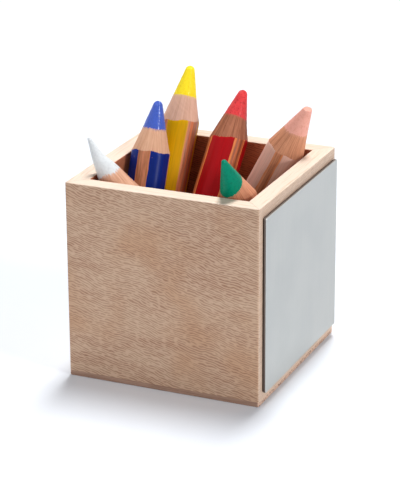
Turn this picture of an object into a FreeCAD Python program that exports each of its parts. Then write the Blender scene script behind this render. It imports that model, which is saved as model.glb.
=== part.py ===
import FreeCAD, Part
import math
import os

# A small desk box for pencils: four mitred beech walls glued onto a thin bottom sheet, with a steel plate
# stuck to the right side, and six thick coloured pencils standing loose inside. The origin is the middle
# of the underside. +Z is up, the front is -Y and the steel plate is on +X. Lengths are in millimetres.

# The box.
box_width = 56.0
box_depth = 56.0
box_height = 56.0
wall = 5.0
bottom_sheet_thickness = 1.5
corner_easing = 0.6
rim_easing = 0.4
underside_easing = 0.25

# The steel plate and the adhesive pad behind it. The margins are the bare wood left around the plate.
plate_thickness = 0.65
plate_front_margin = 2.3
plate_back_margin = 1.2
plate_top_margin = 3.1
plate_bottom_margin = 3.4
plate_corner_radius = 0.5
plate_face_easing = 0.12
pad_thickness = 0.4
pad_inset = 0.2

# Every pencil: a hexagonal casing of two glued slats round a thick core.
across_flats = 10.2
edge_radius = 3.6
core_diameter = 6.6

# The gap left between pieces that only rest on each other.
clearance = 0.2

# Each pencil: its length from the flat end to the rounded tip, the tip's radius, the angle of its
# sharpened cone from the axis, its turn about the axis, and how far it leans sideways, across the way it
# leans to what it rests on. The gaps place its foot, and lie between its casing and a wall or another
# casing. Angles are in degrees.
blue_length = 70.8
blue_tip_radius = 1.35
blue_cone_angle = 16.2
blue_turn_angle = 58.0
blue_side_angle = 0.3

yellow_length = 78.0
yellow_tip_radius = 1.35
yellow_cone_angle = 14.5
yellow_turn_angle = 10.0
yellow_side_angle = 2.3
yellow_gap_to_blue = 1.1

red_length = 75.5
red_tip_radius = 1.35
red_cone_angle = 16.2
red_turn_angle = 13.0
red_side_angle = 7.8
red_gap_to_yellow = 0.9
red_angle_from_yellow = -26.8

green_length = 76.4
green_tip_radius = 0.75
green_cone_angle = 15.0
green_turn_angle = 20.0
green_side_angle = -0.15

skin_length = 74.5
skin_tip_radius = 1.3
skin_cone_angle = 16.3
skin_turn_angle = 22.0
skin_side_angle = 0.0
skin_gap_to_left_wall = 7.28

white_length = 70.9
white_tip_radius = 0.45
white_cone_angle = 15.0
white_turn_angle = 35.0
white_side_angle = -5.9
white_gap_to_red = 5.9
white_gap_to_front_wall = 5.0

Vector = FreeCAD.Vector
up = Vector(0, 0, 1)
tiny = 1e-6

half_width = box_width / 2
half_depth = box_depth / 2
inside_x = half_width - wall
inside_y = half_depth - wall
corner_radius = (across_flats / 2 - edge_radius) / math.cos(math.pi / 6) + edge_radius
beside_wall = corner_radius + clearance

# Each side's outward direction, the direction along it, and how far its inside face is from the middle.
sides = {
    "front": {"outward": Vector(0, -1, 0), "along": Vector(1, 0, 0), "inside": inside_y},
    "right": {"outward": Vector(1, 0, 0), "along": Vector(0, 1, 0), "inside": inside_x},
    "back": {"outward": Vector(0, 1, 0), "along": Vector(1, 0, 0), "inside": inside_y},
    "left": {"outward": Vector(-1, 0, 0), "along": Vector(0, 1, 0), "inside": inside_x},
}


def is_upright(edge):
    box = edge.BoundBox
    return box.XLength < tiny and box.YLength < tiny


def lies_at(edge, height):
    box = edge.BoundBox
    return abs(box.ZMin - height) < tiny and abs(box.ZMax - height) < tiny


def centred_block(width, depth, height, bottom):
    return Part.makeBox(width, depth, height, Vector(-width / 2, -depth / 2, bottom))


# The walls as one ring, with eased upright corners and an eased rim.
def wall_ring():
    height = box_height - bottom_sheet_thickness
    outside = centred_block(box_width, box_depth, height, bottom_sheet_thickness)
    outside = outside.makeFillet(corner_easing, [edge for edge in outside.Edges if is_upright(edge)])
    inside = centred_block(2 * inside_x, 2 * inside_y, height, bottom_sheet_thickness)
    ring = outside.cut(inside)
    return ring.makeFillet(rim_easing, [edge for edge in ring.Edges if lies_at(edge, box_height)])


# One wall is the part of the ring between the 45 degree mitres at its two ends.
def mitred_wall(ring, length, distance, angle):
    over = wall / 2
    under = wall + over
    outline = [
        Vector(-length / 2 - over, -distance - over, 0),
        Vector(length / 2 + over, -distance - over, 0),
        Vector(length / 2 - under, -distance + under, 0),
        Vector(-length / 2 + under, -distance + under, 0),
    ]
    wedge = Part.Face(Part.makePolygon(outline + outline[:1])).extrude(Vector(0, 0, 2 * box_height))
    wedge.rotate(Vector(0, 0, 0), up, angle)
    return ring.common(wedge)


def bottom_sheet():
    sheet = centred_block(box_width, box_depth, bottom_sheet_thickness, 0)
    sheet = sheet.makeFillet(corner_easing, [edge for edge in sheet.Edges if is_upright(edge)])
    return sheet.makeChamfer(underside_easing, [edge for edge in sheet.Edges if lies_at(edge, 0)])


# A flat piece on the right side, standing off the wall, with its outline drawn in from the plate's.
def side_sheet(stand_off, thickness, inset, radius):
    width = box_depth - plate_front_margin - plate_back_margin - 2 * inset
    height = box_height - plate_top_margin - plate_bottom_margin - 2 * inset
    front = -half_depth + plate_front_margin + inset
    bottom = plate_bottom_margin + inset
    sheet = Part.makeBox(thickness, width, height, Vector(half_width + stand_off, front, bottom))
    corners = [edge for edge in sheet.Edges if abs(edge.BoundBox.XLength - thickness) < tiny]
    return sheet.makeFillet(radius, corners)


def adhesive_pad():
    return side_sheet(0, pad_thickness, pad_inset, plate_corner_radius - pad_inset)


def steel_plate():
    plate = side_sheet(pad_thickness, plate_thickness, 0, plate_corner_radius)
    face_x = half_width + pad_thickness + plate_thickness
    rim = [edge for edge in plate.Edges if abs(edge.BoundBox.XMin - face_x) < tiny]
    return plate.makeChamfer(plate_face_easing, rim)


# The length that a pencil would have with an unrounded point.
def sharp_length(pencil):
    return pencil["length"] + pencil["tip_radius"] * (1 / math.sin(pencil["cone"]) - 1)


# What the sharpener leaves of a pencil: a cylinder, then a cone that ends in a ball, turned about the axis.
def sharpened_space(pencil):
    cone = pencil["cone"]
    tip_radius = pencil["tip_radius"]
    outer = corner_radius + edge_radius
    point = sharp_length(pencil)
    ball = point - tip_radius / math.sin(cone)
    middle = (math.pi / 2 + cone) / 2
    foot = Vector(0, 0, 0)
    side_bottom = Vector(outer, 0, 0)
    side_top = Vector(outer, 0, point - outer / math.tan(cone))
    tangent = Vector(tip_radius * math.cos(cone), 0, ball + tip_radius * math.sin(cone))
    round_middle = Vector(tip_radius * math.cos(middle), 0, ball + tip_radius * math.sin(middle))
    tip = Vector(0, 0, pencil["length"])
    edges = [
        Part.makeLine(foot, side_bottom),
        Part.makeLine(side_bottom, side_top),
        Part.makeLine(side_top, tangent),
        Part.Arc(tangent, round_middle, tip).toShape(),
        Part.makeLine(tip, foot),
    ]
    return Part.Face(Part.Wire(edges)).revolve(foot, up, 360)


# A hexagonal rod with rounded long edges, with two of its corners on the X axis.
def hexagonal_rod(length):
    corner = across_flats / 2 / math.cos(math.pi / 6)
    outline = [Vector(corner, 0, 0)]
    for step in range(1, 7):
        turn = math.radians(60 * step)
        outline.append(Vector(corner * math.cos(turn), corner * math.sin(turn), 0))
    rod = Part.Face(Part.makePolygon(outline)).extrude(Vector(0, 0, length))
    return rod.makeFillet(edge_radius, [edge for edge in rod.Edges if is_upright(edge)])


# The two slats meet on the plane through two opposite corners, and the core fills their grooves.
def pencil_pieces(pencil):
    length = pencil["length"]
    space = sharpened_space(pencil)
    core_rod = Part.makeCylinder(core_diameter / 2, length)
    casing = hexagonal_rod(length).common(space).cut(core_rod)
    half = Part.makeBox(2 * across_flats, across_flats, length, Vector(-across_flats, 0, 0))
    return {
        "left_slat": casing.common(half),
        "right_slat": casing.cut(half),
        "core": core_rod.common(space),
    }


# A pencil's axis: where its foot's centre is and which way it points. The lowest corner of the foot just
# clears the bottom sheet.
def axis_from(foot_x, foot_y, slope_x, slope_y):
    direction = Vector(slope_x, slope_y, 1).normalize()
    rise = corner_radius * math.hypot(direction.x, direction.y)
    return Vector(foot_x, foot_y, bottom_sheet_thickness + clearance + rise), direction


# The gap between a pencil and the inner edge of the rim on one side, counted along their common normal,
# to the casing's corners or to the cone.
def gap_to_rim(axis, pencil, side):
    foot, direction = axis
    outward = sides[side]["outward"]
    rim = sides[side]["along"]
    normal = rim.cross(direction).normalize()
    if normal.dot(outward) < 0:
        normal = -normal
    reach = outward * sides[side]["inside"] + up * box_height - foot
    distance = reach.dot(normal)
    if pencil["rests_with"] == "casing":
        return distance - corner_radius
    across = rim.cross(normal)
    along = reach.dot(across) / direction.dot(across)
    return distance * math.cos(pencil["cone"]) - (sharp_length(pencil) - along) * math.sin(pencil["cone"])


def gap_to_pencil(axis, pencil, other):
    foot, direction = axis
    own_line = Part.makeLine(foot, foot + direction * pencil["length"])
    other_foot, other_direction = other["axis"]
    other_line = Part.makeLine(other_foot, other_foot + other_direction * other["length"])
    return own_line.distToShape(other_line)[0] - 2 * corner_radius


# Leans a pencil from upright toward one side until only the clearance is left before what it rests on.
def lean(pencil, settled):
    foot_x, foot_y = pencil["foot"]
    side = sides[pencil["toward"]]
    sideways = math.tan(math.radians(pencil["side_angle"]))

    def axis_at(slope):
        slopes = side["outward"] * slope + side["along"] * sideways
        return axis_from(foot_x, foot_y, slopes.x, slopes.y)

    def gap_at(slope):
        if pencil["rests_on"] == "rim":
            return gap_to_rim(axis_at(slope), pencil, pencil["toward"])
        return gap_to_pencil(axis_at(slope), pencil, settled[pencil["rests_on"]])

    slope = 0.0
    step = 0.05
    while step > tiny:
        if gap_at(slope + step) > clearance:
            slope += step
        else:
            step /= 2
    return axis_at(slope)


def place(shape, axis, turn):
    foot, direction = axis
    heading = math.degrees(math.atan2(direction.y, direction.x))
    tilt = math.degrees(math.acos(direction.z))
    leaning = FreeCAD.Rotation(up, heading) * FreeCAD.Rotation(Vector(0, 1, 0), tilt)
    shape.Placement = FreeCAD.Placement(foot, leaning * FreeCAD.Rotation(up, turn))
    return shape


left_row = -inside_x + beside_wall
blue_foot_y = -inside_y + beside_wall
yellow_foot_y = blue_foot_y + 2 * corner_radius + yellow_gap_to_blue
yellow_to_red = 2 * corner_radius + red_gap_to_yellow
red_heading = math.radians(red_angle_from_yellow)
red_foot_x = left_row + yellow_to_red * math.cos(red_heading)
red_foot_y = yellow_foot_y + yellow_to_red * math.sin(red_heading)
skin_foot_x = -inside_x + corner_radius + skin_gap_to_left_wall
white_foot_x = red_foot_x + 2 * corner_radius + white_gap_to_red
white_foot_y = -inside_y + corner_radius + white_gap_to_front_wall

# In the order in which they settle. A pencil rests on the rim with its casing or with its cone.
pencils = {
    "yellow": {
        "foot": (left_row, yellow_foot_y),
        "toward": "back",
        "rests_on": "rim",
        "rests_with": "casing",
        "side_angle": yellow_side_angle,
        "length": yellow_length,
        "tip_radius": yellow_tip_radius,
        "cone": math.radians(yellow_cone_angle),
        "turn_angle": yellow_turn_angle,
    },
    "blue": {
        "foot": (left_row, blue_foot_y),
        "toward": "back",
        "rests_on": "yellow",
        "side_angle": blue_side_angle,
        "length": blue_length,
        "tip_radius": blue_tip_radius,
        "cone": math.radians(blue_cone_angle),
        "turn_angle": blue_turn_angle,
    },
    "red": {
        "foot": (red_foot_x, red_foot_y),
        "toward": "back",
        "rests_on": "rim",
        "rests_with": "casing",
        "side_angle": red_side_angle,
        "length": red_length,
        "tip_radius": red_tip_radius,
        "cone": math.radians(red_cone_angle),
        "turn_angle": red_turn_angle,
    },
    "green": {
        "foot": (inside_x - beside_wall, inside_y - beside_wall),
        "toward": "front",
        "rests_on": "rim",
        "rests_with": "cone",
        "side_angle": green_side_angle,
        "length": green_length,
        "tip_radius": green_tip_radius,
        "cone": math.radians(green_cone_angle),
        "turn_angle": green_turn_angle,
    },
    "skin": {
        "foot": (skin_foot_x, inside_y - beside_wall),
        "toward": "right",
        "rests_on": "rim",
        "rests_with": "casing",
        "side_angle": skin_side_angle,
        "length": skin_length,
        "tip_radius": skin_tip_radius,
        "cone": math.radians(skin_cone_angle),
        "turn_angle": skin_turn_angle,
    },
    "white": {
        "foot": (white_foot_x, white_foot_y),
        "toward": "left",
        "rests_on": "rim",
        "rests_with": "cone",
        "side_angle": white_side_angle,
        "length": white_length,
        "tip_radius": white_tip_radius,
        "cone": math.radians(white_cone_angle),
        "turn_angle": white_turn_angle,
    },
}

pieces = {}

ring = wall_ring()
pieces["front_wall"] = mitred_wall(ring, box_width, half_depth, 0)
pieces["right_wall"] = mitred_wall(ring, box_depth, half_width, 90)
pieces["back_wall"] = mitred_wall(ring, box_width, half_depth, 180)
pieces["left_wall"] = mitred_wall(ring, box_depth, half_width, 270)
pieces["bottom_sheet"] = bottom_sheet()
pieces["adhesive_pad"] = adhesive_pad()
pieces["steel_plate"] = steel_plate()

for colour, pencil in pencils.items():
    pencil["axis"] = lean(pencil, pencils)
    for piece, shape in pencil_pieces(pencil).items():
        pieces[f"{colour}_pencil_{piece}"] = place(shape, pencil["axis"], pencil["turn_angle"])

os.makedirs("parts", exist_ok=True)
for name, shape in pieces.items():
    solid = shape.Solids[0]
    solid.exportStep(f"parts/{name}.step")
    print(name, len(shape.Solids), "solid,", round(solid.Volume, 1), "mm3, valid", solid.isValid())
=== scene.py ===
import math

import bpy
import numpy as np
from mathutils import Matrix, Vector


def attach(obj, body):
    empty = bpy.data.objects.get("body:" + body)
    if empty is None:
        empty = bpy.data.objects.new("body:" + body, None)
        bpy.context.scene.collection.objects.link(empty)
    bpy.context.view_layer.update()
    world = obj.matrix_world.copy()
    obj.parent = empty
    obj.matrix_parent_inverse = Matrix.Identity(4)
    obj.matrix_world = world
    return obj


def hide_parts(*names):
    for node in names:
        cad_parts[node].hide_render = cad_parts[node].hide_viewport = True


# A beech pencil box with a steel plate on its right side and six thick coloured pencils in it.
# In the dictionaries, lengths are in millimetres unless a note says otherwise, angles in degrees
# and colours as a screen shows them, 0 to 255. Scales are noise cells a metre. Streaks are
# (length, thickness, waviness), and specks are (size, share of the cells that have one). A band is
# (from, to, share): a colour starts where a pattern passes from and has its share past to.

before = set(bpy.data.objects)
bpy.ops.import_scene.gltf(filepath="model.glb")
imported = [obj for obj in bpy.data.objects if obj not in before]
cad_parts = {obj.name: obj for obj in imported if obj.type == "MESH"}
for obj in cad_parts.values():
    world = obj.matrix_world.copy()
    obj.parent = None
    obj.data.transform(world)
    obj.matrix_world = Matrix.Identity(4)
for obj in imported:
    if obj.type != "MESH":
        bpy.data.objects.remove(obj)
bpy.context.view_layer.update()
mm = 0.001
print("frame loaded:", len(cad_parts), "pieces")


def paint(red, green, blue):  # a screen colour as the shader wants it
    share = np.array([red, green, blue]) / 255
    linear = np.where(share <= 0.04045, share / 12.92, ((share + 0.055) / 1.055) ** 2.4)
    return (*linear.tolist(), 1.0)


def isSocket(value):
    return isinstance(value, bpy.types.NodeSocket)


def put(tree, kind, inputs=None, **settings):  # one shader node, with its sockets linked or set
    node = tree.nodes.new(kind)
    for name, value in settings.items():
        setattr(node, name, value)
    for name, value in (inputs or {}).items():
        if isSocket(value):
            tree.links.new(value, node.inputs[name])
        else:
            node.inputs[name].default_value = value
    return node


def calc(tree, operation, first, second=0.0, third=0.0):
    inputs = {0: first, 1: second, 2: third}
    return put(tree, "ShaderNodeMath", inputs, operation=operation).outputs[0]


def times(tree, first, second):
    return calc(tree, "MULTIPLY", first, second)


def unsigned(tree, value):
    return calc(tree, "ABSOLUTE", value)


def vectorCalc(tree, operation, first, second=(0, 0, 0)):
    return put(tree, "ShaderNodeVectorMath", {0: first, 1: second}, operation=operation).outputs[0]


def scaleBy(tree, vector, factor):
    inputs = {0: vector, "Scale": factor}
    return put(tree, "ShaderNodeVectorMath", inputs, operation="SCALE").outputs[0]


def split(tree, vector):  # the X, Y and Z of a vector
    return put(tree, "ShaderNodeSeparateXYZ", {0: vector}).outputs


def join(tree, x, y, z):
    return put(tree, "ShaderNodeCombineXYZ", {0: x, 1: y, 2: z}).outputs[0]


def blend(tree, share, under, over, kind="MIX"):  # colours given as 0 to 255 or as sockets
    inputs = {0: share}
    for slot, colour in ((6, under), (7, over)):
        inputs[slot] = colour if isSocket(colour) else paint(*colour)
    return put(tree, "ShaderNodeMix", inputs, data_type="RGBA", blend_type=kind).outputs[2]


def remap(tree, value, low, high, outLow=0.0, outHigh=1.0, soft=True):
    inputs = {0: value, 1: low, 2: high, 3: outLow, 4: outHigh}
    kind = "SMOOTHSTEP" if soft else "LINEAR"
    return put(tree, "ShaderNodeMapRange", inputs, interpolation_type=kind).outputs[0]


def layer(tree, pattern, band, under, over):  # over shows on under as the pattern crosses its band
    low, high, share = band
    return blend(tree, remap(tree, pattern, low, high, 0.0, share), under, over)


def noise(tree, vector, scale, detail=3.0, roughness=0.5):
    inputs = {"Vector": vector, "Scale": scale, "Detail": detail, "Roughness": roughness}
    return put(tree, "ShaderNodeTexNoise", inputs).outputs


def newGroup(name, values, output):  # a node group with a Vector, named values and one output
    group = bpy.data.node_groups.new(name, "ShaderNodeTree")
    group.interface.new_socket("Vector", in_out="INPUT", socket_type="NodeSocketVector")
    for value in values:
        group.interface.new_socket(value, in_out="INPUT", socket_type="NodeSocketFloat")
    group.interface.new_socket(output, in_out="OUTPUT", socket_type="NodeSocketFloat")
    given = group.nodes.new("NodeGroupInput").outputs
    return group, given, group.nodes.new("NodeGroupOutput").inputs[output]


def useGroup(tree, group, inputs):
    return put(tree, "ShaderNodeGroup", inputs, node_tree=group).outputs[0]


def newMaterial(name, **plain):  # plain values go straight onto the shader's own sockets
    material = bpy.data.materials.new(name)
    material.use_nodes = True
    tree = material.node_tree
    tree.nodes.clear()
    surface = put(tree, "ShaderNodeBsdfPrincipled")
    for socket, value in plain.items():
        surface.inputs[socket.replace("_", " ")].default_value = value
    put(tree, "ShaderNodeOutputMaterial", {"Surface": surface.outputs[0]})
    return material, tree, surface


def colourIt(tree, surface, colour):
    tree.links.new(colour, surface.inputs["Base Color"])


# Roughness that runs evenly from smooth to rough while the pattern goes from low to high.
def roughen(tree, surface, pattern, smoothAndRough, low=0.3, high=0.7):
    rough = remap(tree, pattern, low, high, *smoothAndRough, soft=False)
    tree.links.new(rough, surface.inputs["Roughness"])


def bumpUp(tree, surface, height, distance):  # bump, with its distance in millimetres
    inputs = {"Height": height, "Distance": distance * mm, "Strength": 1.0}
    bump = put(tree, "ShaderNodeBump", inputs)
    tree.links.new(bump.outputs[0], surface.inputs["Normal"])


def placeOf(tree):  # where a point is in the box's own frame
    return put(tree, "ShaderNodeTexCoord").outputs["Object"]


def facingOf(tree):  # which way the surface faces
    return split(tree, put(tree, "ShaderNodeTexCoord").outputs["Normal"])


fibreShape = {"bendScale": 90.0, "bendDetail": 2.0, "detail": 4.0, "roughness": 0.6}


# Streaks along X: noise whose cells are Length long and Thickness thick, bent by Waviness.
def makeFibres():
    tree, given, wanted = newGroup("fibres", ("Length", "Thickness", "Waviness"), "Streaks")
    slow = noise(tree, given["Vector"], fibreShape["bendScale"], fibreShape["bendDetail"])
    bend = vectorCalc(tree, "SUBTRACT", slow["Color"], (0.5, 0.5, 0.5))
    bent = vectorCalc(tree, "ADD", given["Vector"], scaleBy(tree, bend, given["Waviness"]))
    cellSize = join(tree, given["Length"], given["Thickness"], given["Thickness"])
    cell = vectorCalc(tree, "DIVIDE", bent, cellSize)
    streaks = noise(tree, cell, 1.0, fibreShape["detail"], fibreShape["roughness"])
    tree.links.new(streaks["Fac"], wanted)
    return tree


dashShape = {
    "bendScale": 75.0,  # of the slow noise that bends many lines together
    "depth": 3.0,  # how many times longer a dash is through the wood than along it
    "wiggle": 1.5,  # how far the second noise moves a line, in pitches
    "wiggleAlong": 0.7,
    "wiggleUp": 0.5,
    "breakUp": 0.8,
    "breakRoughness": 0.4,
    "line": (0.1, 0.46),
    "gap": (0.3, 0.52),
}


# Short wavy dashes that lean by Slant. The height, raised by Slant times the way along and bent by
# two noises, counts lines a Pitch apart, and a third noise, Length long, breaks them up.
def makeDashes():
    values = ("Length", "Pitch", "Slant", "Waviness")
    tree, given, wanted = newGroup("ray dashes", values, "Dashes")
    slow = noise(tree, given["Vector"], dashShape["bendScale"], 1.0)["Fac"]
    part = split(tree, given["Vector"])
    bend = calc(tree, "SUBTRACT", slow, 0.5)
    height = calc(tree, "MULTIPLY_ADD", bend, given["Waviness"], part[2])
    height = calc(tree, "MULTIPLY_ADD", part[0], given["Slant"], height)
    height = calc(tree, "MULTIPLY_ADD", part[1], given["Slant"], height)
    x = calc(tree, "DIVIDE", part[0], given["Length"])
    y = calc(tree, "DIVIDE", part[1], times(tree, given["Length"], dashShape["depth"]))
    z = calc(tree, "DIVIDE", height, given["Pitch"])
    along = times(tree, x, dashShape["wiggleAlong"])
    wiggle = noise(tree, join(tree, along, y, times(tree, z, dashShape["wiggleUp"])), 1.0, 1.0)
    moved = calc(tree, "MULTIPLY_ADD", wiggle["Fac"], dashShape["wiggle"], z)
    line = remap(tree, calc(tree, "PINGPONG", moved, 0.5), *dashShape["line"])
    breakPlace = join(tree, x, y, times(tree, z, dashShape["breakUp"]))
    breaks = noise(tree, breakPlace, 1.0, 1.0, dashShape["breakRoughness"])["Fac"]
    tree.links.new(times(tree, line, remap(tree, breaks, *dashShape["gap"])), wanted)
    return tree


speckShape = {"edge": 0.5, "middle": 0.15}  # distances from a speck's middle, in cells


# Small round marks of about Size: 1 in the share Amount of the cells, fading from middle to edge.
def makeSpecks():
    tree, given, wanted = newGroup("specks", ("Size", "Amount"), "Specks")
    scaled = scaleBy(tree, given["Vector"], calc(tree, "DIVIDE", 1.0, given["Size"]))
    cells = put(tree, "ShaderNodeTexVoronoi", {"Vector": scaled, "Scale": 1.0}).outputs
    chance = put(tree, "ShaderNodeSeparateColor", {0: cells["Color"]}).outputs[0]
    there = calc(tree, "LESS_THAN", chance, given["Amount"])
    dot = remap(tree, cells["Distance"], speckShape["edge"], speckShape["middle"])
    tree.links.new(times(tree, dot, there), wanted)
    return tree


fibres = makeFibres()
rayDashes = makeDashes()
specks = makeSpecks()
print("shared effects built")


def streak(tree, vector, streaks):
    length, thickness, waviness = streaks
    return useGroup(tree, fibres, {
        "Vector": vector, "Length": length * mm, "Thickness": thickness * mm,
        "Waviness": waviness * mm,
    })


def speckle(tree, vector, sizeAndAmount):
    speckSize, amount = sizeAndAmount
    return useGroup(tree, specks, {"Vector": vector, "Size": speckSize * mm, "Amount": amount})


box = {
    "side": 56.0,
    "wall": 5.0,
    "beech": (198, 163, 137),
    "beechPale": (208, 177, 150),
    "beechWarm": (194, 150, 116),
    "beechDark": (146, 104, 76),
    # the rim's colour is its grain and painted light from above, paler than the sides
    "rim": (240, 218, 198),
    "rimLine": (218, 187, 158),
    "fineStreaks": (5, 0.2, 0.9),
    "wideStreaks": (26, 4.5, 6),
    "rimStreaks": (30, 0.6, 1.5),
    "patchScale": 48.0,
    "paleBand": (0.3, 0.7, 0.8),
    "warmBand": (0.48, 0.72, 0.7),
    "fineBand": (0.5, 0.8, 0.25),
    "rimBand": (0.48, 0.72, 0.8),
    "dashLength": 1.6,
    "dashPitch": 0.66,
    "dashSlant": 0.24,
    "dashWaviness": 3.0,
    "dashShare": 0.85,
    "dashInPale": 0.6,  # what is left of the dashes where the wood is pale
    "dashDepth": 0.6,
    # painted shade inside the box: a darker, redder tint, and the share of it that the inside
    # faces get
    "insideShadeTint": (255, 172, 132),
    "insideShadeShare": 0.8,
    "insideMargin": 0.05,
    "topFacing": (0.3, 0.8),
    "easedEdge": 0.3,
    "easedFull": 0.4,  # the part of the eased edge, from the top, that has the full colour
    "easedShare": 0.55,
    "easedColour": (176, 132, 94),
    "jointWidth": 0.09,
    "jointFull": 0.3,
    "jointShare": 0.5,
    "jointDepth": 1.5,
    "jointColour": (128, 92, 66),
    "roughness": (0.52, 0.72),
    "bump": 0.04,
}


# 1 on the faces that look into the box, where painted shade goes: both |x| and |y| are less than
# the inside half width.
def insideShadeMask(tree, part):
    limit = (box["side"] / 2 - box["wall"] + box["insideMargin"]) * mm
    across = calc(tree, "MAXIMUM", unsigned(tree, part[0]), unsigned(tree, part[1]))
    return calc(tree, "LESS_THAN", across, limit)


# The box's outside: tone and patches, then dashes and fine streaks, and darker along the eased
# top edge, whose share grows with the height.
def beechSide(tree, grain, part, wide, fine, strength):
    patches = noise(tree, grain, box["patchScale"], 2.0)["Fac"]
    side = layer(tree, wide, box["paleBand"], box["beech"], box["beechPale"])
    side = layer(tree, patches, box["warmBand"], side, box["beechWarm"])
    side = blend(tree, times(tree, strength, box["dashShare"]), side, box["beechDark"])
    side = layer(tree, fine, box["fineBand"], side, box["beechDark"])
    top = box["side"] * mm
    eased = box["easedEdge"] * mm
    band = (top - eased, top - box["easedFull"] * eased, box["easedShare"])
    return layer(tree, part[2], band, side, box["easedColour"])


# Beech with its grain along the wall. Faces that look up get the rim's colour, paler than the
# sides as painted light from above, with long grain lines; the outside goes over to that
# painted-light colour by the share given for the wall. The inside is tinted redder and darker as
# painted shade, and a dark line marks the mitres, where |x| = |y|.
def makeBeech(name, turn, offset, paintedLightShare):
    material, tree, surface = newMaterial(name, Specular_IOR_Level=0.3)
    place = placeOf(tree)
    part = split(tree, place)
    mapping = put(tree, "ShaderNodeMapping", {
        "Vector": place, "Rotation": (0, 0, math.radians(turn)),
        "Location": [value * mm for value in offset],
    })
    grain = mapping.outputs[0]
    fine = streak(tree, grain, box["fineStreaks"])
    wide = streak(tree, grain, box["wideStreaks"])
    lines = streak(tree, grain, box["rimStreaks"])
    dashes = useGroup(tree, rayDashes, {
        "Vector": grain,
        "Length": box["dashLength"] * mm,
        "Pitch": box["dashPitch"] * mm,
        "Slant": box["dashSlant"],
        "Waviness": box["dashWaviness"] * mm,
    })
    low, high, _ = box["paleBand"]
    strength = times(tree, dashes, remap(tree, wide, low, high, 1.0, box["dashInPale"]))
    onTop = remap(tree, facingOf(tree)[2], *box["topFacing"])
    # The up-facing rim's paler colour is painted light from above, over its real grain lines.
    top = layer(tree, lines, box["rimBand"], box["rim"], box["rimLine"])
    side = beechSide(tree, grain, part, wide, fine, strength)
    # The outside's share of the rim's colour paints the right side lighter, as painted light.
    colour = blend(tree, onTop, blend(tree, paintedLightShare, side, top), top)
    # The inside faces are tinted darker and redder as painted shade and bounce light inside the
    # box.
    shadedInside = blend(tree, 1.0, colour, box["insideShadeTint"], "MULTIPLY")
    insideShade = times(tree, insideShadeMask(tree, part), box["insideShadeShare"])
    colour = blend(tree, insideShade, colour, shadedInside)
    gap = unsigned(tree, calc(tree, "SUBTRACT", unsigned(tree, part[0]), unsigned(tree, part[1])))
    jointWidth = box["jointWidth"] * mm
    joint = times(tree, remap(tree, gap, jointWidth, box["jointFull"] * jointWidth), onTop)
    colour = blend(tree, times(tree, joint, box["jointShare"]), colour, box["jointColour"])
    colourIt(tree, surface, colour)
    roughen(tree, surface, fine, box["roughness"])
    height = calc(tree, "MULTIPLY_ADD", strength, -box["dashDepth"], fine)
    height = calc(tree, "MULTIPLY_ADD", joint, -box["jointDepth"], height)
    bumpUp(tree, surface, height, box["bump"])
    return material


sheet = {
    "alongGrainAndShade": (172, 138, 119),
    "alongDark": (148, 114, 95),
    "cut": (214, 178, 156),
    "pores": (104, 70, 54),
    "veneer": (230, 200, 168),
    "veneerFrom": 1.3,
    "veneerFade": 0.08,
    "streaks": (8, 0.3, 0.5),
    "alongBand": (0.35, 0.7, 1.0),
    "specks": (0.62, 0.9),
    "sideFacing": (0.3, 0.7),
    "roughness": (0.6, 0.85),
    "bump": 0.05,
}


# The bottom sheet: long grain on the front, its colour darkened as painted shade from the floor's
# shadow at the front, and on its two sides a pale veneer over dark, speckled end grain.
def makeSheetWood():
    material, tree, surface = newMaterial("bottom sheet wood", Specular_IOR_Level=0.25)
    place = placeOf(tree)
    grain = streak(tree, place, sheet["streaks"])
    pores = speckle(tree, place, sheet["specks"])
    endGrain = remap(tree, unsigned(tree, facingOf(tree)[0]), *sheet["sideFacing"])
    # The front's grain colour is darkened as painted shade where the box meets the floor.
    along = layer(tree, grain, sheet["alongBand"], sheet["alongGrainAndShade"], sheet["alongDark"])
    cut = blend(tree, pores, sheet["cut"], sheet["pores"])
    low = sheet["veneerFrom"] * mm
    veneer = (low, low + sheet["veneerFade"] * mm, 1.0)
    cut = layer(tree, split(tree, place)[2], veneer, cut, sheet["veneer"])
    colourIt(tree, surface, blend(tree, endGrain, along, cut))
    roughen(tree, surface, grain, sheet["roughness"])
    bumpUp(tree, surface, calc(tree, "SUBTRACT", grain, pores), sheet["bump"])
    return material


steel = {
    "dull": (181, 183, 179),
    "bright": (192, 191, 187),
    "cloud": (172, 174, 172),
    "edgeShade": (112, 104, 100),
    "edgeFacing": (0.7, 0.4),
    "brush": (26, 0.11, 0.05),
    "brushBand": (0.3, 0.7, 1.0),
    "cloudScale": 60.0,
    "cloudBand": (0.35, 0.7, 0.35),
    "smudges": (3.0, 0.12),
    "smudgeRough": 0.03,
    "roughness": 0.42,
    "roughSpread": 0.03,
    "bump": 0.006,
}


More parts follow.
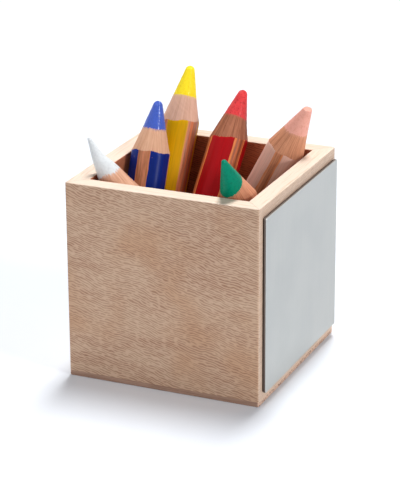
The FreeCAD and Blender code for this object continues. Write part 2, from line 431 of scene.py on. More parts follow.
# Satin steel: metal whose colour, roughness and height follow fine upright brushing, with faint
# broad clouds, and its thin edges painted darker as painted shade.
def makeSteel():
    material, tree, surface = newMaterial("satin steel", Metallic=1.0)
    place = placeOf(tree)
    turned = {"Vector": place, "Rotation": (0, math.radians(90), 0)}
    upright = put(tree, "ShaderNodeMapping", turned).outputs[0]
    brush = streak(tree, upright, steel["brush"])
    cloud = noise(tree, place, steel["cloudScale"], 2.0)["Fac"]
    smudge = speckle(tree, place, steel["smudges"])
    # The plate's thin edges, which face away from X, are painted dark as painted shade.
    edge = remap(tree, unsigned(tree, facingOf(tree)[0]), *steel["edgeFacing"])
    colour = layer(tree, brush, steel["brushBand"], steel["dull"], steel["bright"])
    colour = layer(tree, cloud, steel["cloudBand"], colour, steel["cloud"])
    colourIt(tree, surface, blend(tree, edge, colour, steel["edgeShade"]))
    low, high, _ = steel["brushBand"]
    smooth = steel["roughness"] - steel["roughSpread"]
    rough = remap(tree, brush, low, high, smooth, steel["roughness"] + steel["roughSpread"])
    rough = calc(tree, "MULTIPLY_ADD", smudge, steel["smudgeRough"], rough)
    tree.links.new(rough, surface.inputs["Roughness"])
    bumpUp(tree, surface, brush, steel["bump"])
    return material


pad = {
    "foam": (58, 42, 34),
    "foamPale": (76, 58, 46),
    "pore": (24, 16, 12),
    "specks": (0.16, 0.6),
    "cloudScale": 900.0,
    "bump": 0.03,
}


# The dark adhesive pad: foam with fine open pores.
def makeAdhesive():
    plain = {"Roughness": 0.85, "Specular_IOR_Level": 0.15}
    material, tree, surface = newMaterial("adhesive pad", **plain)
    place = placeOf(tree)
    pores = speckle(tree, place, pad["specks"])
    cloud = noise(tree, place, pad["cloudScale"])["Fac"]
    foam = blend(tree, cloud, pad["foam"], pad["foamPale"])
    colourIt(tree, surface, blend(tree, pores, foam, pad["pore"]))
    bumpUp(tree, surface, times(tree, pores, -1.0), pad["bump"])
    return material


def dress(node, material):  # gives a CAD piece its material
    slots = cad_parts[node].material_slots
    for slot in slots:
        slot.material = material
    if not slots:
        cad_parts[node].data.materials.append(material)


# The way each wall's grain is turned, where in the wood it is cut, and its share of the rim's
# paler colour, which paints light on the right side.
walls = {
    "front_wall": (0, (0, 0, 0), 0.0),
    "back_wall": (0, (31, 17, 9), 0.0),
    "left_wall": (90, (53, 5, 23), 0.0),
    "right_wall": (90, (11, 29, 41), 0.4),
}

for wall, cut in walls.items():
    dress(wall, makeBeech("beech " + wall.replace("_", " "), *cut))
dress("bottom_sheet", makeSheetWood())
dress("steel_plate", makeSteel())
dress("adhesive_pad", makeAdhesive())
print("box dressed")


pencilShape = {
    "edgeRadius": 3.6,
    "casingSharp": 12.0,  # edges sharper than this many degrees stay sharp
    "coreSharp": 35.0,
    "lacquerSharp": 40.0,
    "columns": 216,
    "bodyRows": 30,
    "coneRows": 34,
    "coreRows": 44,
    "tipRows": 14,
    "scallop": 0.4,  # how much of the hexagon's waves the edge of the sharpened wood keeps
    "shoulderRough": 0.05,
    "footEase": 0.15,
    "boreDepth": 0.6,
    "casingLip": 0.05,
    "coneRough": 0.025,
    "coneTwist": 2.2,
    "edgeSlow": 0.5,  # shares of the slow and the fine wave in the core's edge
    "edgeFine": 0.45,
    "coreDepth": 0.7,
    "coreLip": 0.07,
    "coreSlack": 0.02,
    "coreRough": 0.03,
    "coreTwist": 5,
    "coreFade": 0.3,
    "coreRise": 3,
    "coreRiseFrom": 0.1,
    "pinchAllRound": 0.3,  # the share of the hollow that goes all round the core
    "flatsFrom": 4.5,  # how far below the tip the flats' centre is
    "bendFrom": 7,
    "stripeColumns": 41,
    "stripeRows": 70,
    "lacquerFoot": 0.3,
    "lacquerThickness": 0.05,
    "lacquerEdge": 0.004,
    "lacquerSunk": 0.02,
    "lacquerBelow": 0.02,
    "lacquerRough": 0.05,
    "lacquerRag": 0.01,  # in faces
    "ragLength": 6,  # radians of the wave along the stripe
    "chipTurns": 3,
}

# Each wave is (what is added to the pencil's seed, its fewest crests, its most crests).
waves = {
    "shoulder": (90, 9, 60),
    "edgeSlow": (0, 1, 4),
    "edgeFine": (20, 14, 46),
    "cone": (7, 3, 17),
    "core": (40, 4, 24),
    "rag": (0, 2, 14),
    "chip": (60, 3, 22),
}

# cutSide is how far and toward which heading the sharpener cut off centre, and coreSide the same
# for the core. stripe is how far a lacquer stripe reaches from its middle, and how far that is
# past the corner, in faces. edgeRough makes the core's edge ragged. crumbs are the pits in the
# core and gloss is its coat. border is the bright wood beside the lacquer, and streaks the grain
# on the cone. flats are (direction, depth) cuts at the tip, bend moves the tip sideways, and
# pinch is (share, distance below the tip, spread, heading) of a hollow worn on one side.
pencils = {
    "white": {
        "core": (228, 231, 232), "coreShade": (212, 215, 217), "lacquer": (206, 200, 190),
        "wood": (236, 186, 154), "woodDark": (192, 126, 92), "bare": (178, 104, 72),
        "cutSide": (0.0, 0), "coreSide": (0.05, 90), "stripe": (0.64, 0.0), "seed": 1,
        "edgeRough": 0.16, "crumbs": 0.3, "gloss": 0.0, "border": 0.0, "streaks": 0.8,
        "flats": [], "bend": ((-0.55, -0.2, 0.8), 0.25), "pinch": (0.34, 4.6, 3.2, 24),
    },
    "blue": {
        "core": (54, 88, 190), "coreShade": (44, 78, 172), "lacquer": (14, 44, 138),
        "wood": (226, 178, 146), "woodDark": (186, 118, 82), "bare": (246, 166, 124),
        "cutSide": (0.0, 0), "coreSide": (0.0, 0), "stripe": (0.67, 0.09), "seed": 2,
        "edgeRough": 0.09, "crumbs": 0.35, "gloss": 0.9, "border": 0.15, "streaks": 0.4,
        "flats": [((0.1, -0.5, 0.86), 0.25)],
    },
    "yellow": {
        "core": (255, 228, 48), "coreShade": (248, 208, 30), "lacquer": (240, 182, 0),
        "wood": (224, 178, 154), "woodDark": (190, 134, 108), "bare": (236, 136, 88),
        "cutSide": (0.17, 204), "coreSide": (0.0, 0), "stripe": (0.56, 0.16), "seed": 3,
        "edgeRough": 0.06, "crumbs": 0.2, "gloss": 0.1, "border": 0.6, "streaks": 0.35,
        "flats": [((0.0, -0.3, 0.95), 0.3)],
    },
    "red": {
        "core": (226, 66, 68), "coreShade": (176, 28, 36), "lacquer": (186, 16, 24),
        "wood": (172, 108, 78), "woodDark": (128, 72, 48), "bare": (232, 124, 70),
        "cutSide": (0.24, 204), "coreSide": (0.0, 0), "stripe": (0.665, 0.005), "seed": 4,
        "edgeRough": 0.08, "crumbs": 0.8, "gloss": 0.3, "border": 0.8, "streaks": 0.9,
        "flats": [((0.75, -0.3, 0.6), 0.45), ((-0.2, -0.3, 0.93), 0.3)],
    },
    "green": {
        "core": (0, 134, 104), "coreShade": (0, 112, 86), "lacquer": (6, 92, 62),
        "wood": (216, 150, 116), "woodDark": (184, 112, 78), "bare": (186, 112, 76),
        "cutSide": (0.0, 0), "coreSide": (0.4, 225), "stripe": (0.64, 0.0), "seed": 5,
        "edgeRough": 0.05, "crumbs": 0.1, "gloss": 0.08, "border": 0.2, "streaks": 0.8,
        "flats": [],
    },
    "skin": {
        "core": (242, 174, 156), "coreShade": (226, 152, 132), "lacquer": (248, 200, 180),
        "wood": (222, 156, 120), "woodDark": (172, 104, 70), "bare": (244, 170, 128),
        "cutSide": (0.0, 0), "coreSide": (0.12, 204), "stripe": (0.78, 0.14), "seed": 6,
        "edgeRough": 0.12, "crumbs": 0.1, "gloss": 0.15, "border": 0.3, "streaks": 0.6,
        "flats": [((0.25, -0.2, 0.95), 0.8)],
    },
}


def inMetres(name):  # a length of pencilShape
    return pencilShape[name] * mm


# How closely a solid is read, in metres and square metres.
reading = {
    "leastArea": 1e-11,
    "footLayer": 1e-6,
    "straightSlack": 5e-6,
    "coneStart": 0.05 * mm,
    "gluedSlack": 2e-6,
    "gluedTilt": 0.1,  # the cosine of the angle between the glued face's normal and the axis
}


def arraysOf(node):  # a CAD piece's points and triangles
    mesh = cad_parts[node].data
    mesh.calc_loop_triangles()
    points = np.empty(3 * len(mesh.vertices), np.float32)
    mesh.vertices.foreach_get("co", points)
    corners = np.empty(3 * len(mesh.loop_triangles), np.int32)
    mesh.loop_triangles.foreach_get("vertices", corners)
    return points.reshape(-1, 3).astype(float), corners.reshape(-1, 3)


# Middle and unit normal of each triangle: the normal is (b - a) x (c - a), scaled to 1.
def facesOf(node):
    points, corners = arraysOf(node)
    a, b, c = (points[corners[:, k]] for k in range(3))
    normal = np.cross(b - a, c - a)
    area = np.linalg.norm(normal, axis=1)
    keep = area > reading["leastArea"]
    return ((a + b + c) / 3)[keep], normal[keep] / area[keep, None]


# A pencil's own frame, from its solids. The axis is minus the lowest-facing normal, Y is minus the
# normal of the glued face, and the cone's slope is the core's loss of radius over the height from
# the end of its straight part to its next points.
def readPencil(name):
    points = arraysOf(name + "_pencil_core")[0]
    normals = facesOf(name + "_pencil_core")[1]
    axis = -normals[np.argmin(normals[:, 2])]
    height = points @ axis
    footPoints = points[height < height.min() + reading["footLayer"]]
    foot = np.unique(np.round(footPoints, 7), axis=0).mean(0)
    local = points - foot
    along = local @ axis
    away = np.linalg.norm(local - along[:, None] * axis, axis=1)
    coreRadius = away.max()
    straight = along[away > coreRadius - reading["straightSlack"]].max()
    lowest = np.argmin(np.where(along > straight + reading["coneStart"], along, 1.0))
    slope = (coreRadius - away[lowest]) / (along[lowest] - straight)
    middles, normals = facesOf(name + "_pencil_left_slat")
    offset = np.abs(np.einsum("ij,ij->i", middles - foot, normals))
    glued = (offset < reading["gluedSlack"]) & (np.abs(normals @ axis) < reading["gluedTilt"])
    y = -normals[glued].mean(0)
    y -= (y @ axis) * axis
    y /= np.linalg.norm(y)
    slat = arraysOf(name + "_pencil_left_slat")[0] - foot
    return {
        "foot": foot,
        "turn": np.stack([np.cross(y, axis), y, axis], 1),
        "length": along.max(),
        "point": straight + coreRadius / slope,
        "coreRadius": coreRadius,
        "apothem": (slat @ y).max(),
        "slope": slope,
    }


# A hexagon with rounded corners, t from 0 to 6 round it: each corner is an arc of radius r about a
# point (apothem - r) / cos 30 from the middle, and the faces between are straight.
def hexagon(t, apothem):
    rounding = inMetres("edgeRadius")
    nearest = np.floor(t + 0.5)
    side = np.sign(t - nearest)
    flat = (apothem - rounding) * math.tan(math.pi / 6)
    arc = rounding * math.pi / 6
    away = np.abs(t - nearest) * 2 * (flat + arc)
    turn = np.minimum(away, arc) / rounding * side
    corner = nearest * math.pi / 3
    facing = corner + turn
    reach = (apothem - rounding) / math.cos(math.pi / 6)
    straight = np.maximum(away - arc, 0) * side
    x = reach * np.cos(corner) + rounding * np.cos(facing) - straight * np.sin(facing)
    y = reach * np.sin(corner) + rounding * np.sin(facing) + straight * np.cos(facing)
    return np.arctan2(y, x), np.hypot(x, y)


# A sum of cosines of whole multiples of the angle with seeded phases, about 1 high.
def ripple(angle, seed, kind):
    shift, lowest, highest = waves[kind]
    crests = np.arange(lowest, highest + 1)
    phases = np.random.default_rng(seed + shift).uniform(0, 2 * math.pi, len(crests))
    total = np.cos(np.multiply.outer(angle, crests) + phases)
    return total.sum(-1) / math.sqrt(len(crests))


# An offset toward a heading, as each angle round the pencil sees it: amount times the cosine of
# the angle from the heading's direction in the pencil's own frame.
def toward(pencil, around, amountAndHeading):
    amount, heading = amountAndHeading
    direction = np.array([math.cos(math.radians(heading)), math.sin(math.radians(heading)), 0])
    own = pencil["turn"].T @ direction
    return amount * mm * np.cos(around - math.atan2(own[1], own[0]))


# Where the cone meets the body: the height at which the cone has the body's radius there, with the
# hexagon's waves softened, the cut's offset added and a slight raggedness.
def shoulder(pencil, look, around, radius):
    softened = radius - (1 - pencilShape["scallop"]) * (radius - pencil["apothem"])
    softened = softened + toward(pencil, around, look["cutSide"])
    rough = inMetres("shoulderRough") * ripple(around, look["seed"], "shoulder")
    return pencil["point"] - softened / pencil["slope"] + rough


# Where wood gives way to core: the core's radius with a ragged wave and its offset, and the height
# at which the cone has that radius.
def coreEdge(pencil, look, around):
    slow = ripple(around, look["seed"], "edgeSlow") * pencilShape["edgeSlow"]
    wave = slow + ripple(around, look["seed"], "edgeFine") * pencilShape["edgeFine"]
    radius = pencil["coreRadius"] + look["edgeRough"] * mm * wave
    radius = radius + toward(pencil, around, look["coreSide"])
    return radius, pencil["point"] - radius / pencil["slope"]


def gridFaces(rows, columns, wrapRows):  # quads of a grid whose columns close on themselves
    last = rows if wrapRows else rows - 1
    r, c = np.meshgrid(np.arange(last), np.arange(columns), indexing="ij")
    up, side = (r + 1) % rows, (c + 1) % columns
    row, rowAbove = r * columns, up * columns
    quads = np.stack([row + c, row + side, rowAbove + side, rowAbove + c], -1)
    return quads.reshape(-1, 4)


# A mesh from arrays, turned outward if its signed volume is negative, riding on its body.
def addPiece(name, body, points, own, faces, sharpAt, marks=None):
    points, own = points.reshape(-1, 3), own.reshape(-1, 3)
    tris = np.concatenate([faces[:, [0, 1, 2]], faces[:, [0, 2, 3]]])
    a, b, c = (points[tris[:, k]] for k in range(3))
    if np.einsum("ij,ij->i", a, np.cross(b, c)).sum() < 0:
        faces = faces[:, ::-1]
    mesh = bpy.data.meshes.new(name)
    rows = [list(dict.fromkeys(face)) for face in faces.tolist()]
    mesh.from_pydata(points.tolist(), [], [row for row in rows if len(row) > 2])
    place = mesh.attributes.new("own", "FLOAT_VECTOR", "POINT")
    place.data.foreach_set("vector", own.astype(np.float32).ravel())
    for markName, values in (marks or {}).items():
        attribute = mesh.attributes.new(markName, "FLOAT", "POINT")
        attribute.data.foreach_set("value", values.astype(np.float32).ravel())
    mesh.shade_smooth()
    mesh.set_sharp_from_angle(angle=math.radians(sharpAt))
    piece = bpy.data.objects.new(name, mesh)
    bpy.context.scene.collection.objects.link(piece)
    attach(piece, body)
    return piece


# Own points (r cos a, r sin a, s), then foot + turn * own.
def toWorld(pencil, around, radius, along):
    own = np.stack([radius * np.cos(around), radius * np.sin(around), along + 0 * radius], -1)
    return own, own @ pencil["turn"].T + pencil["foot"]


def roundIt(pencil):  # the places round a pencil: t, and the hexagon's angle and radius there
    t = np.arange(pencilShape["columns"]) * 6 / pencilShape["columns"]
    return t, *hexagon(t, pencil["apothem"])


# The wood, a closed tube: foot face, hexagonal body up to the shoulder, cone up to the core, and
# the bore. The cone's radius is (point - s) slope, plus what the shoulder is off that cone, fading
# as (1 - share)^2.
def makeCasing(name, pencil, look):
    t, around, hexRadius = roundIt(pencil)
    bodyTop = shoulder(pencil, look, around, hexRadius)
    edgeRadius, edgeHeight = coreEdge(pencil, look, around)
    ease, lip = inMetres("footEase"), inMetres("casingLip")
    rows = [(pencil["coreRadius"] + 0 * t, 0 * t), (hexRadius - ease, 0 * t)]
    rows.append((hexRadius, ease + 0 * t))
    for share in np.linspace(0, 1, pencilShape["bodyRows"])[1:]:
        rows.append((hexRadius, ease + (bodyTop - lip - ease) * share))
    off = hexRadius - (pencil["point"] - bodyTop) * pencil["slope"]
    for share in np.linspace(0, 1, pencilShape["coneRows"]):
        height = bodyTop + (edgeHeight - bodyTop) * share
        cut = (pencil["point"] - height) * pencil["slope"] + off * (1 - share) ** 2
        wave = ripple(around + pencilShape["coneTwist"] * share, look["seed"], "cone")
        wave = wave * math.sin(math.pi * share)
        rows.append((cut + inMetres("coneRough") * wave, height))
    rows.append((edgeRadius - lip, edgeHeight - lip))
    rows.append((edgeRadius - lip, edgeHeight - inMetres("boreDepth")))
    radius = np.stack([row[0] for row in rows])
    height = np.stack([row[1] for row in rows])
    cone = np.zeros_like(radius)
    cone[2 + pencilShape["bodyRows"]:] = 1.0
    own, points = toWorld(pencil, np.broadcast_to(around, radius.shape), radius, height)
    marks = {
        "cone": cone,
        "toCore": np.clip((edgeHeight - height) / mm, 0, 20),
        "round": np.broadcast_to(t, radius.shape),
    }
    faces = gridFaces(len(rows), len(t), True)
    body = name + "_pencil"
    piece = addPiece(body + "_casing", body, points, own, faces, pencilShape["casingSharp"], marks)
    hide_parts(body + "_left_slat", body + "_right_slat")
    return piece


# Draws points beyond a plane back to it along their line to the centre.
def cutFlat(points, centre, direction, depth):
    direction = np.array(direction) / np.linalg.norm(direction)
    reach = (points - centre) @ direction
    plane = reach.max() - depth
    share = np.where(reach > plane, plane / np.maximum(reach, 1e-9), 1.0)
    return centre + (points - centre) * share[..., None]


# Makes the first and the last row one point each: the points to keep, and each one's new number.
def closePoles(rows, columns):
    number = np.arange(rows * columns)
    number[:columns] = 0
    number[-columns:] = (rows - 1) * columns
    return np.unique(number, return_inverse=True)


# What a hollow worn on one side leaves of the radius: 1 minus depth times a bell curve of the
# height, most toward its heading.
def pinchShare(pencil, look, around, height):
    if "pinch" not in look:
        return 1.0
    depth, below, spread, heading = look["pinch"]
    away = (pencil["length"] - below * mm - height) / (spread * mm)
    allRound = pencilShape["pinchAllRound"]
    oneSided = allRound + (1 - allRound) * toward(pencil, around, (1 / mm, heading))
    return 1 - depth * np.exp(-away**2) * oneSided


# The core: a rod inside the wood, then the cone r = (point - s) slope, and a ball at the tip that
# touches the cone all round, so that length = point - r / sin + r. Crumbs, a hollow, flats and a
# bend are the wear.
def makeCore(name, pencil, look):
    t, around, _ = roundIt(pencil)
    edgeRadius, edgeHeight = coreEdge(pencil, look, around)
    angle = math.atan(pencil["slope"])
    ball = (pencil["point"] - pencil["length"]) / (1 / math.sin(angle) - 1)
    ballMiddle = pencil["length"] - ball
    ballStart = ballMiddle + ball * math.sin(angle)
    lip = inMetres("coreLip")
    rows = [(0 * t, 0 * t), (pencil["coreRadius"] - inMetres("coreSlack") + 0 * t, 0 * t)]
    rows.append((edgeRadius - lip, edgeHeight - inMetres("coreDepth")))
    rows.append((edgeRadius - lip, edgeHeight - lip))
    for share in np.linspace(0, 1, pencilShape["coreRows"]):
        height = edgeHeight + (ballStart - edgeHeight) * share
        cut = (pencil["point"] - height) * pencil["slope"]
        cut = cut * pinchShare(pencil, look, around, height)
        crumble = ripple(around + pencilShape["coreTwist"] * share, look["seed"], "core")
        crumble = crumble * (1 - share) ** pencilShape["coreFade"]
        rise = min(1, share * pencilShape["coreRise"] + pencilShape["coreRiseFrom"])
        rise = math.sin(math.pi * rise / 2)
        rows.append((cut + inMetres("coreRough") * crumble * rise, height))
    for turn in np.linspace(angle, math.pi / 2, pencilShape["tipRows"])[1:]:
        rows.append((ball * math.cos(turn) + 0 * t, ballMiddle + ball * math.sin(turn) + 0 * t))
    radius = np.stack([row[0] for row in rows])
    height = np.stack([row[1] for row in rows])
    own, points = toWorld(pencil, np.broadcast_to(around, radius.shape), radius, height)
    outside = slice(4, None)
    centre = pencil["foot"] + pencil["turn"][:, 2] * (pencil["length"] - inMetres("flatsFrom"))
    for direction, depth in look["flats"]:
        points[outside] = cutFlat(points[outside], centre, direction, depth * mm)
    if "bend" in look:
        direction, amount = look["bend"]
        bendFrom = inMetres("bendFrom")
        share = np.clip((height - (pencil["length"] - bendFrom)) / bendFrom, 0, 1) ** 2
        points += share[..., None] * np.array(direction) * amount * mm
    keep, number = closePoles(len(rows), len(t))
    faces = number[gridFaces(len(rows), len(t), False)]
    points, own = points.reshape(-1, 3)[keep], own.reshape(-1, 3)[keep]
    body = name + "_pencil"
    piece = addPiece(body + "_lead", body, points, own, faces, pencilShape["coreSharp"])
    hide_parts(body + "_core")
    return piece


# Three stripes of lacquer on alternate corners: a thin closed skin whose thickness fades at its
# edges as 1 - w^10, w from -1 to 1 across the stripe, and which ends on the sharpener's cone.
def makeLacquer(name, pencil, look):
    reach, middle = look["stripe"]
    rows = pencilShape["stripeRows"]
    across = np.linspace(-1, 1, pencilShape["stripeColumns"])
    w, share = np.meshgrid(across, np.linspace(0, 1, rows))
    skin = inMetres("lacquerThickness") * (1 - np.abs(w) ** 10) + inMetres("lacquerEdge")
    foot = inMetres("lacquerFoot")
    pieces = []
    for corner in (1, 3, 5):
        seed = look["seed"] + corner
        rag = pencilShape["lacquerRag"] * ripple(share * pencilShape["ragLength"], seed, "rag")
        t = corner + middle + w * (reach + rag)
        around, radius = hexagon(t, pencil["apothem"])
        chip = inMetres("lacquerRough") * ripple(t * pencilShape["chipTurns"], seed, "chip")
        top = shoulder(pencil, look, around, radius) - inMetres("lacquerBelow")
        top = top + np.minimum(chip, 0)
        shells = []
        for offset in (skin, -inMetres("lacquerSunk")):
            height = foot + (top - offset / pencil["slope"] - foot) * share
            shells.append(toWorld(pencil, around, radius + offset, height))
        own, points = (np.concatenate([shells[0][k], shells[1][k][:, ::-1]], 1) for k in (0, 1))
        count = points.shape[1]
        inner = np.arange(count // 2 - 1)
        cap = np.stack([inner, inner + 1, count - 2 - inner, count - 1 - inner], -1)
        sides = gridFaces(rows, count, False)
        faces = np.concatenate([sides, cap[:, ::-1], cap + (rows - 1) * count])
        body = name + "_pencil"
        title = f"{body}_stripe_{(corner + 1) // 2}"
        piece = addPiece(title, body, points, own, faces, pencilShape["lacquerSharp"])
        pieces.append(piece)
    return pieces


def mark(tree, name, kind="Fac"):  # a value that a piece's points carry
    return put(tree, "ShaderNodeAttribute", attribute_name=name).outputs[kind]


cedar = {
    "grainRadius": 4.5,
    "grainShift": 50,  # how far along the wood the next pencil is cut
    "fineStreaks": (7, 0.24, 0.2),
    "wideStreaks": (22, 0.9, 0.6),
    "coneFine": (0.44, 0.64),
    "coneWide": (0.45, 0.7),
    "coneWideShare": 0.6,
    "bodyWide": (0.35, 0.7, 1.0),
    "bodyFine": (0.46, 0.68, 0.5),
    "bodyStreak": (138, 70, 42),
    "borderColour": (250, 150, 84),
    "borderOuter": 0.12,  # where the bright border ends and is full, in faces from the lacquer
    "borderInner": 0.05,
    "smearReach": 0.8,
    "smearShare": 0.5,
    "smearStreaks": (0.4, 0.6),
    "seamWidth": 0.04,  # in faces
    "seamFull": 0.2,
    "seamShare": 0.16,
    "seamDepth": 1.2,
    "seamColour": (110, 62, 40),
    "roughness": (0.42, 0.62),
    "bump": 0.03,
}


# A pencil's own coordinates, turned so that X runs along it and drawn to one radius, so that
# streaks run down the cone.
def lengthwise(tree, shift=0.0):
    part = split(tree, mark(tree, "own", "Vector"))
    outward = vectorCalc(tree, "NORMALIZE", join(tree, part[0], part[1], 0.0))
    rolled = split(tree, scaleBy(tree, outward, cedar["grainRadius"] * mm))
    return join(tree, calc(tree, "ADD", part[2], shift), rolled[0], rolled[1])


# Pencil wood: fresh and pinkish on the cone, redder on the body, streaked along its length, with
# bright wood beside the lacquer, some of the core's colour smeared over its edge and a fine seam
# where the two slats meet.
def makeCasingWood(name, look):
    material, tree, surface = newMaterial(name + " pencil wood", Specular_IOR_Level=0.25)
    place = lengthwise(tree, cedar["grainShift"] * mm * look["seed"])
    fine = streak(tree, place, cedar["fineStreaks"])
    wide = streak(tree, place, cedar["wideStreaks"])
    coneFine = (*cedar["coneFine"], look["streaks"])
    coneWide = (*cedar["coneWide"], cedar["coneWideShare"] * look["streaks"])
    fresh = layer(tree, fine, coneFine, look["wood"], look["woodDark"])
    fresh = layer(tree, wide, coneWide, fresh, look["woodDark"])
    bare = layer(tree, wide, cedar["bodyWide"], look["bare"], look["woodDark"])
    bare = layer(tree, fine, cedar["bodyFine"], bare, cedar["bodyStreak"])
    reach, middle = look["stripe"]
    fromMiddle = calc(tree, "SUBTRACT", mark(tree, "round"), 1 + middle)
    border = (reach + cedar["borderOuter"], reach + cedar["borderInner"], look["border"])
    fromStripe = calc(tree, "PINGPONG", fromMiddle, 1.0)
    bare = layer(tree, fromStripe, border, bare, cedar["borderColour"])
    cone = mark(tree, "cone")
    colour = blend(tree, cone, bare, fresh)
    smear = remap(tree, mark(tree, "toCore"), cedar["smearReach"], 0.0, 0.0, cedar["smearShare"])
    smear = times(tree, smear, remap(tree, fine, *cedar["smearStreaks"]))
    colour = blend(tree, smear, colour, look["core"])
    seam = calc(tree, "PINGPONG", mark(tree, "round"), 1.5)
    seamWidth = cedar["seamWidth"]
    seam = remap(tree, seam, seamWidth, cedar["seamFull"] * seamWidth, 0.0, cedar["seamShare"])
    colourIt(tree, surface, blend(tree, seam, colour, cedar["seamColour"]))
    roughen(tree, surface, cone, cedar["roughness"], 0, 1)
    height = calc(tree, "MULTIPLY_ADD", seam, -cedar["seamDepth"], fine)
    bumpUp(tree, surface, height, cedar["bump"])
    return material


wax = {
    "pits": (0.34, 0.3),
    "pitDepth": 0.8,
    "cloudScale": 1500.0,
    "cloudDetail": 5.0,
    "cloudRoughness": 0.65,
    "cloudBand": (0.45, 0.75, 1.0),
    "ringScale": (260.0, 260.0, 5200.0),
    "ringHeight": 0.7,
    "coatRoughness": 0.12,
    "roughness": (0.24, 0.38),
    "bump": 0.01,
    "crumbBump": 0.03,
}


# Waxy core: soft sheen, crumbly pits and rings from the sharpener, darker in its hollows.
def makeCoreWax(name, look):
    plain = {"Coat_Weight": look["gloss"], "Coat_Roughness": wax["coatRoughness"]}
    material, tree, surface = newMaterial(name + " core", Specular_IOR_Level=0.04, **plain)
    place = mark(tree, "own", "Vector")
    pits = speckle(tree, place, wax["pits"])
    cloud = noise(tree, place, wax["cloudScale"], wax["cloudDetail"], wax["cloudRoughness"])["Fac"]
    ring = noise(tree, vectorCalc(tree, "MULTIPLY", place, wax["ringScale"]), 1.0)["Fac"]
    colour = layer(tree, cloud, wax["cloudBand"], look["core"], look["coreShade"])
    colour = blend(tree, times(tree, pits, look["crumbs"]), colour, look["coreShade"])
    colourIt(tree, surface, colour)
    roughen(tree, surface, cloud, wax["roughness"])
    height = calc(tree, "MULTIPLY_ADD", ring, wax["ringHeight"], cloud)
    height = calc(tree, "MULTIPLY_ADD", pits, -wax["pitDepth"], height)
    bumpUp(tree, surface, height, wax["bump"] + wax["crumbBump"] * look["crumbs"])
    return material


lacquer = {
    "streaks": (9, 0.3, 0.2),
    "streakBand": (0.4, 0.7, 0.4),
    "streakShade": 0.84,
    "nicks": (0.3, 0.004),
    "nickShare": 0.5,
    "roughness": 0.3,
    "coat": 0.2,
    "coatRoughness": 0.36,
    "bump": 0.005,
}


# Glossy lacquer over wood: the fibres show faintly in its coat, with small nicks down to the wood.
def makeLacquerPaint(name, look):
    material, tree, surface = newMaterial(
        name + " lacquer", Roughness=lacquer["roughness"], Specular_IOR_Level=0.04,
        Coat_Weight=lacquer["coat"], Coat_Roughness=lacquer["coatRoughness"],
    )
    place = lengthwise(tree)
    fine = streak(tree, place, lacquer["streaks"])
    nicks = speckle(tree, place, lacquer["nicks"])
    deep = tuple(lacquer["streakShade"] * value for value in look["lacquer"])
    colour = layer(tree, fine, lacquer["streakBand"], look["lacquer"], deep)
    nickShare = times(tree, nicks, lacquer["nickShare"])
    colourIt(tree, surface, blend(tree, nickShare, colour, look["bare"]))
    bumpUp(tree, surface, fine, lacquer["bump"])
    return material


for name, look in pencils.items():
    pencil = readPencil(name)
    makeCasing(name, pencil, look).data.materials.append(makeCasingWood(name, look))
    makeCore(name, pencil, look).data.materials.append(makeCoreWax(name, look))
    stripePaint = makeLacquerPaint(name, look)
    for stripe in makeLacquer(name, pencil, look):
        stripe.data.materials.append(stripePaint)
    print(name, "pencil made, cone angle", round(math.degrees(math.atan(pencil["slope"])), 2))


# The studio's and the camera's lengths are in metres, and the lamps' power is in watts.
studio = {
    "floorReach": 6.0,
    "floorColour": (236, 240, 246),
    "floorGlow": 0.04,
    "worldLight": 0.2,
    "worldColour": (0.9, 0.96, 1.06, 1),
    "aim": (0, 0, 0.03),
}

lamps = {
    "key": {"place": (-0.03, 0.39, 1.4), "size": (0.3, 0.66), "power": 19.2},
    "fill": {"place": (-0.7, -1.8, 0.24), "size": (1.0, 1.0), "power": 11.1},
    "side": {"place": (1.6, -0.4, 0.4), "size": (0.3, 0.3), "power": 8.9},
    "glint": {"place": (1.12, -0.196, 0.884), "size": (0.22, 0.22), "power": 2.6},
}


def seenDirectly(tree):  # 1 for rays from the camera, from gloss and through glass
    ray = put(tree, "ShaderNodeLightPath").outputs
    either = calc(tree, "MAXIMUM", ray["Is Camera Ray"], ray["Is Glossy Ray"])
    return calc(tree, "MAXIMUM", either, ray["Is Transmission Ray"])


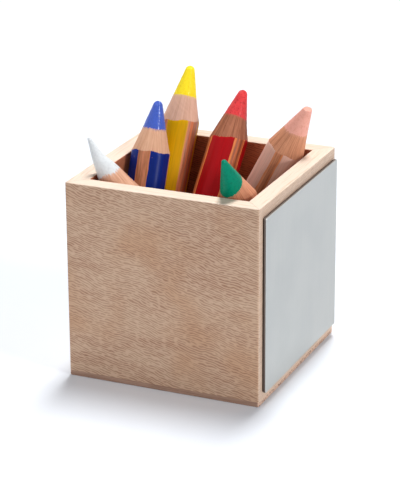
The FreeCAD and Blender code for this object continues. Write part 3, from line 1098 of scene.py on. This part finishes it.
def makeFloor():
    mesh = bpy.data.meshes.new("floor")
    reach = studio["floorReach"]
    corners = [(-reach, -reach, 0), (reach, -reach, 0), (reach, reach, 0), (-reach, reach, 0)]
    mesh.from_pydata(corners, [], [(0, 1, 2, 3)])
    floor = bpy.data.objects.new("floor", mesh)
    bpy.context.scene.collection.objects.link(floor)
    material, tree, surface = newMaterial("floor", Roughness=0.9, Specular_IOR_Level=0.0)
    surface.inputs["Base Color"].default_value = paint(*studio["floorColour"])
    surface.inputs["Emission Color"].default_value = (1, 1, 1, 1)
    glow = times(tree, seenDirectly(tree), studio["floorGlow"])
    tree.links.new(glow, surface.inputs["Emission Strength"])
    mesh.materials.append(material)


def makeLamp(name, place, size, power):
    data = bpy.data.lights.new(name, "AREA")
    data.shape = "ELLIPSE"
    data.size, data.size_y = size
    data.energy = power
    lamp = bpy.data.objects.new(name, data)
    lamp.location = place
    towards = Vector(studio["aim"]) - Vector(place)
    lamp.rotation_euler = towards.to_track_quat("-Z", "Y").to_euler()
    bpy.context.scene.collection.objects.link(lamp)


def makeWorld():
    world = bpy.data.worlds.new("studio")
    bpy.context.scene.world = world
    world.use_nodes = True
    tree = world.node_tree
    tree.nodes.clear()
    lit = {"Color": studio["worldColour"], "Strength": studio["worldLight"]}
    light = put(tree, "ShaderNodeBackground", lit).outputs[0]
    seen = put(tree, "ShaderNodeBackground", {"Color": (1, 1, 1, 1), "Strength": 1.0}).outputs[0]
    both = put(tree, "ShaderNodeMixShader", {0: seenDirectly(tree), 1: light, 2: seen})
    put(tree, "ShaderNodeOutputWorld", {"Surface": both.outputs[0]})


camera = {
    "place": (0.2317, -0.5295, 0.2512),
    "yaw": 23.726,
    "pitch": 20.861,
    "roll": -0.365,
    "lens": 161.28,  # this and the sensor are in millimetres
    "sensor": 36.0,
}


def makeCamera():
    data = bpy.data.cameras.new("camera")
    data.sensor_width = camera["sensor"]
    data.lens = camera["lens"]
    data.clip_start = 0.01
    view = bpy.data.objects.new("camera", data)
    turn = Matrix.Rotation(math.radians(camera["yaw"]), 4, "Z")
    turn = turn @ Matrix.Rotation(math.radians(90 - camera["pitch"]), 4, "X")
    turn = turn @ Matrix.Rotation(math.radians(camera["roll"]), 4, "Z")
    view.matrix_world = Matrix.Translation(camera["place"]) @ turn
    bpy.context.scene.collection.objects.link(view)
    bpy.context.scene.camera = view


makeFloor()
for name, lamp in lamps.items():
    makeLamp(name, **lamp)
makeWorld()
makeCamera()
bpy.context.scene.view_settings.view_transform = "Standard"
print("studio ready")
